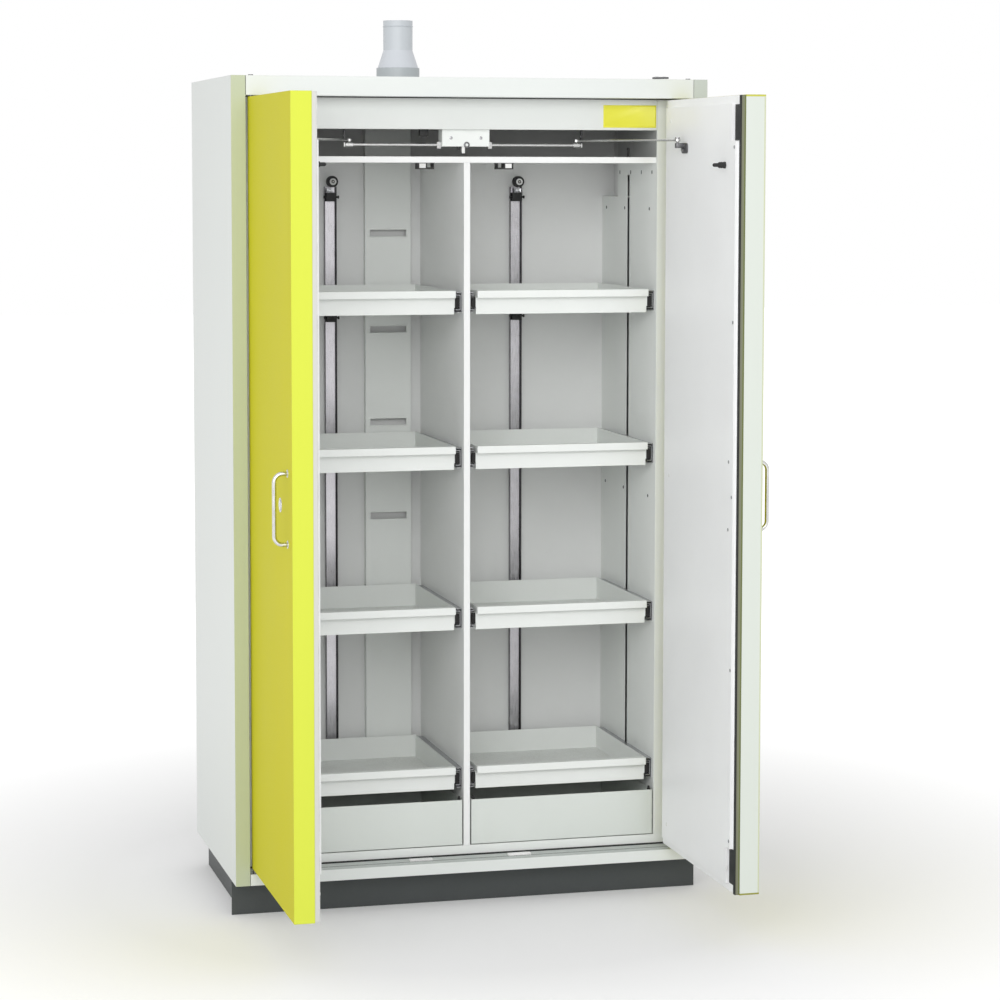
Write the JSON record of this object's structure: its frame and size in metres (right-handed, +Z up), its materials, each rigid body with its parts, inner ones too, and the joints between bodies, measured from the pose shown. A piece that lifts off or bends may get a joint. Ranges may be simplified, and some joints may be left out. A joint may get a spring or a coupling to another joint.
{
  "type": "flammable safety cabinet",
  "caption": "Tall two-wing fire safety cabinet with open insulated doors, pull-out trays, sump drawers, a door closing mechanism and a roof exhaust spigot.",
  "frame": {"origin": "on the floor, under the middle of the body's footprint", "axes": "+X to the right seen from the front, +Y towards the back, +Z up"},
  "size_m": [1.198, 1.157, 2.211],
  "materials": {
    "shell_paint": "fine textured powder coat, light grey",
    "door_paint": "fine textured powder coat, yellow-green",
    "door_board": "smooth white faced board",
    "inner_paint": "satin powder coat, near white",
    "white_board": "satin white melamine faced board",
    "liner_board": "satin light grey faced board",
    "insulation": "rough mineral board",
    "seal_rubber": "matt",
    "black_plastic": "matt, fine grain",
    "white_plastic": "satin",
    "slide_steel": "bright zinc plated",
    "bright_steel": "drawn bar",
    "bracket_steel": "dark zinc plated",
    "handle_steel": "satin stainless bar",
    "lock_chrome": "polished",
    "dark_steel": "blackened",
    "plinth_paint": "textured powder coat, dark grey",
    "foot_steel": "zinc plated",
    "spigot_grey": "smooth light grey paint"
  },
  "bodies": {
    "cabinet": {"side_panel_left": "shell_paint", "side_panel_right": "shell_paint", "top_panel": "shell_paint", "bottom_panel": "shell_paint", "back_panel": "shell_paint", "insulation_boards": "insulation", "inner_liner": "liner_board", "frame_ring": "inner_paint", "frame_seals": "seal_rubber", "air_cheeks": "inner_paint", "partition": "white_board", "mechanism_shelf": "white_board", "fascia": "inner_paint", "closer_box": "inner_paint", "link_guides": "bright_steel", "exhaust_duct": "inner_paint", "retraction_rails": "slide_steel", "rail_carriers": "black_plastic", "runner_rails": "slide_steel", "hinge_pins": "dark_steel", "door_catches": "black_plastic", "run_on_plates": "white_plastic", "plinth": "plinth_paint", "levelling_feet": "foot_steel", "exhaust_spigot": "spigot_grey"},
    "door_left": {"door_left_skin": "door_paint", "door_left_core": "door_board", "door_left_seals": "seal_rubber", "door_left_handle": "handle_steel", "door_left_hardware": "bracket_steel"},
    "link_left": {"link_left": "bright_steel"},
    "shoe_left": {"shoe_left": "bright_steel"},
    "door_right": {"door_right_skin": "door_paint", "door_right_core": "door_board", "door_right_seals": "seal_rubber", "door_right_handle": "handle_steel", "door_right_hardware": "bracket_steel"},
    "link_right": {"link_right": "bright_steel"},
    "shoe_right": {"shoe_right": "bright_steel"},
    "lock_barrel": {"lock_barrel": "lock_chrome"},
    "tray_left_1": {"tray_left_1": "inner_paint"},
    "tray_left_1_mid": {"tray_left_1_mid": "slide_steel"},
    "tray_left_2": {"tray_left_2": "inner_paint"},
    "tray_left_2_mid": {"tray_left_2_mid": "slide_steel"},
    "tray_left_3": {"tray_left_3": "inner_paint"},
    "tray_left_3_mid": {"tray_left_3_mid": "slide_steel"},
    "tray_left_4": {"tray_left_4": "inner_paint"},
    "tray_left_4_mid": {"tray_left_4_mid": "slide_steel"},
    "sump_left": {"sump_left": "inner_paint"},
    "pulley_left": {"pulley_left": "black_plastic"},
    "tray_right_1": {"tray_right_1": "inner_paint"},
    "tray_right_1_mid": {"tray_right_1_mid": "slide_steel"},
    "tray_right_2": {"tray_right_2": "inner_paint"},
    "tray_right_2_mid": {"tray_right_2_mid": "slide_steel"},
    "tray_right_3": {"tray_right_3": "inner_paint"},
    "tray_right_3_mid": {"tray_right_3_mid": "slide_steel"},
    "tray_right_4": {"tray_right_4": "inner_paint"},
    "tray_right_4_mid": {"tray_right_4_mid": "slide_steel"},
    "sump_right": {"sump_right": "inner_paint"},
    "pulley_right": {"pulley_right": "black_plastic"}
  },
  "joints": [
    {"name": "door_left_hinge", "type": "hinge", "parent": "cabinet", "child": "door_left", "pos_m": [-0.55, -0.301, 1.065], "axis": [0, 0, -1], "range_deg": [-90, 0]},
    {"name": "link_left_pivot", "type": "hinge", "parent": "door_left", "child": "link_left", "pos_m": [-0.472, -0.458, 1.904], "axis": [0, 0, -1], "range_deg": [0, 140.87]},
    {"name": "shoe_left_slide", "type": "slide", "parent": "cabinet", "child": "shoe_left", "axis": [1, 0, 0], "range_m": [0, 0.2098]},
    {"name": "door_right_hinge", "type": "hinge", "parent": "cabinet", "child": "door_right", "pos_m": [0.55, -0.301, 1.065], "axis": [0, 0, 1], "range_deg": [-90, 0]},
    {"name": "link_right_pivot", "type": "hinge", "parent": "door_right", "child": "link_right", "pos_m": [0.472, -0.458, 1.904], "axis": [0, 0, 1], "range_deg": [0, 140.87]},
    {"name": "shoe_right_slide", "type": "slide", "parent": "cabinet", "child": "shoe_right", "axis": [-1, 0, 0], "range_m": [0, 0.2098]},
    {"name": "lock_turn", "type": "hinge", "parent": "door_left", "child": "lock_barrel", "pos_m": [-0.557, -0.704, 1.0675], "axis": [-1, 0, 0], "range_deg": [0, 90]},
    {"name": "tray_left_1_slide", "type": "slide", "parent": "cabinet", "child": "tray_left_1", "axis": [0, -1, 0], "range_m": [0, 0.4]},
    {"name": "tray_left_1_mid_slide", "type": "slide", "parent": "cabinet", "child": "tray_left_1_mid", "axis": [0, -1, 0], "range_m": [0, 0.2]},
    {"name": "tray_left_2_slide", "type": "slide", "parent": "cabinet", "child": "tray_left_2", "axis": [0, -1, 0], "range_m": [0, 0.4]},
    {"name": "tray_left_2_mid_slide", "type": "slide", "parent": "cabinet", "child": "tray_left_2_mid", "axis": [0, -1, 0], "range_m": [0, 0.2]},
    {"name": "tray_left_3_slide", "type": "slide", "parent": "cabinet", "child": "tray_left_3", "axis": [0, -1, 0], "range_m": [0, 0.4]},
    {"name": "tray_left_3_mid_slide", "type": "slide", "parent": "cabinet", "child": "tray_left_3_mid", "axis": [0, -1, 0], "range_m": [0, 0.2]},
    {"name": "tray_left_4_slide", "type": "slide", "parent": "cabinet", "child": "tray_left_4", "axis": [0, -1, 0], "range_m": [0, 0.4]},
    {"name": "tray_left_4_mid_slide", "type": "slide", "parent": "cabinet", "child": "tray_left_4_mid", "axis": [0, -1, 0], "range_m": [0, 0.2]},
    {"name": "sump_left_slide", "type": "slide", "parent": "cabinet", "child": "sump_left", "axis": [0, -1, 0], "range_m": [0, 0.4]},
    {"name": "pulley_left_spin", "type": "hinge", "parent": "cabinet", "child": "pulley_left", "pos_m": [-0.25, 0.205, 1.801], "axis": [0, 1, 0], "continuous": true},
    {"name": "tray_right_1_slide", "type": "slide", "parent": "cabinet", "child": "tray_right_1", "axis": [0, -1, 0], "range_m": [0, 0.4]},
    {"name": "tray_right_1_mid_slide", "type": "slide", "parent": "cabinet", "child": "tray_right_1_mid", "axis": [0, -1, 0], "range_m": [0, 0.2]},
    {"name": "tray_right_2_slide", "type": "slide", "parent": "cabinet", "child": "tray_right_2", "axis": [0, -1, 0], "range_m": [0, 0.4]},
    {"name": "tray_right_2_mid_slide", "type": "slide", "parent": "cabinet", "child": "tray_right_2_mid", "axis": [0, -1, 0], "range_m": [0, 0.2]},
    {"name": "tray_right_3_slide", "type": "slide", "parent": "cabinet", "child": "tray_right_3", "axis": [0, -1, 0], "range_m": [0, 0.4]},
    {"name": "tray_right_3_mid_slide", "type": "slide", "parent": "cabinet", "child": "tray_right_3_mid", "axis": [0, -1, 0], "range_m": [0, 0.2]},
    {"name": "tray_right_4_slide", "type": "slide", "parent": "cabinet", "child": "tray_right_4", "axis": [0, -1, 0], "range_m": [0, 0.4]},
    {"name": "tray_right_4_mid_slide", "type": "slide", "parent": "cabinet", "child": "tray_right_4_mid", "axis": [0, -1, 0], "range_m": [0, 0.2]},
    {"name": "sump_right_slide", "type": "slide", "parent": "cabinet", "child": "sump_right", "axis": [0, -1, 0], "range_m": [0, 0.4]},
    {"name": "pulley_right_spin", "type": "hinge", "parent": "cabinet", "child": "pulley_right", "pos_m": [0.25, 0.205, 1.801], "axis": [0, 1, 0], "continuous": true}
  ],
  "couplings": [
    {"joint": "link_left_pivot", "follows": "door_left_hinge", "ratio": -1.5647},
    {"joint": "shoe_left_slide", "follows": "door_left_hinge", "m_per_rad": -0.13347},
    {"joint": "link_right_pivot", "follows": "door_right_hinge", "ratio": -1.5647},
    {"joint": "shoe_right_slide", "follows": "door_right_hinge", "m_per_rad": -0.13347},
    {"joint": "tray_left_1_mid_slide", "follows": "tray_left_1_slide", "ratio": 0.5},
    {"joint": "tray_left_2_mid_slide", "follows": "tray_left_2_slide", "ratio": 0.5},
    {"joint": "tray_left_3_mid_slide", "follows": "tray_left_3_slide", "ratio": 0.5},
    {"joint": "tray_left_4_mid_slide", "follows": "tray_left_4_slide", "ratio": 0.5},
    {"joint": "tray_right_1_mid_slide", "follows": "tray_right_1_slide", "ratio": 0.5},
    {"joint": "tray_right_2_mid_slide", "follows": "tray_right_2_slide", "ratio": 0.5},
    {"joint": "tray_right_3_mid_slide", "follows": "tray_right_3_slide", "ratio": 0.5},
    {"joint": "tray_right_4_mid_slide", "follows": "tray_right_4_slide", "ratio": 0.5}
  ]
}
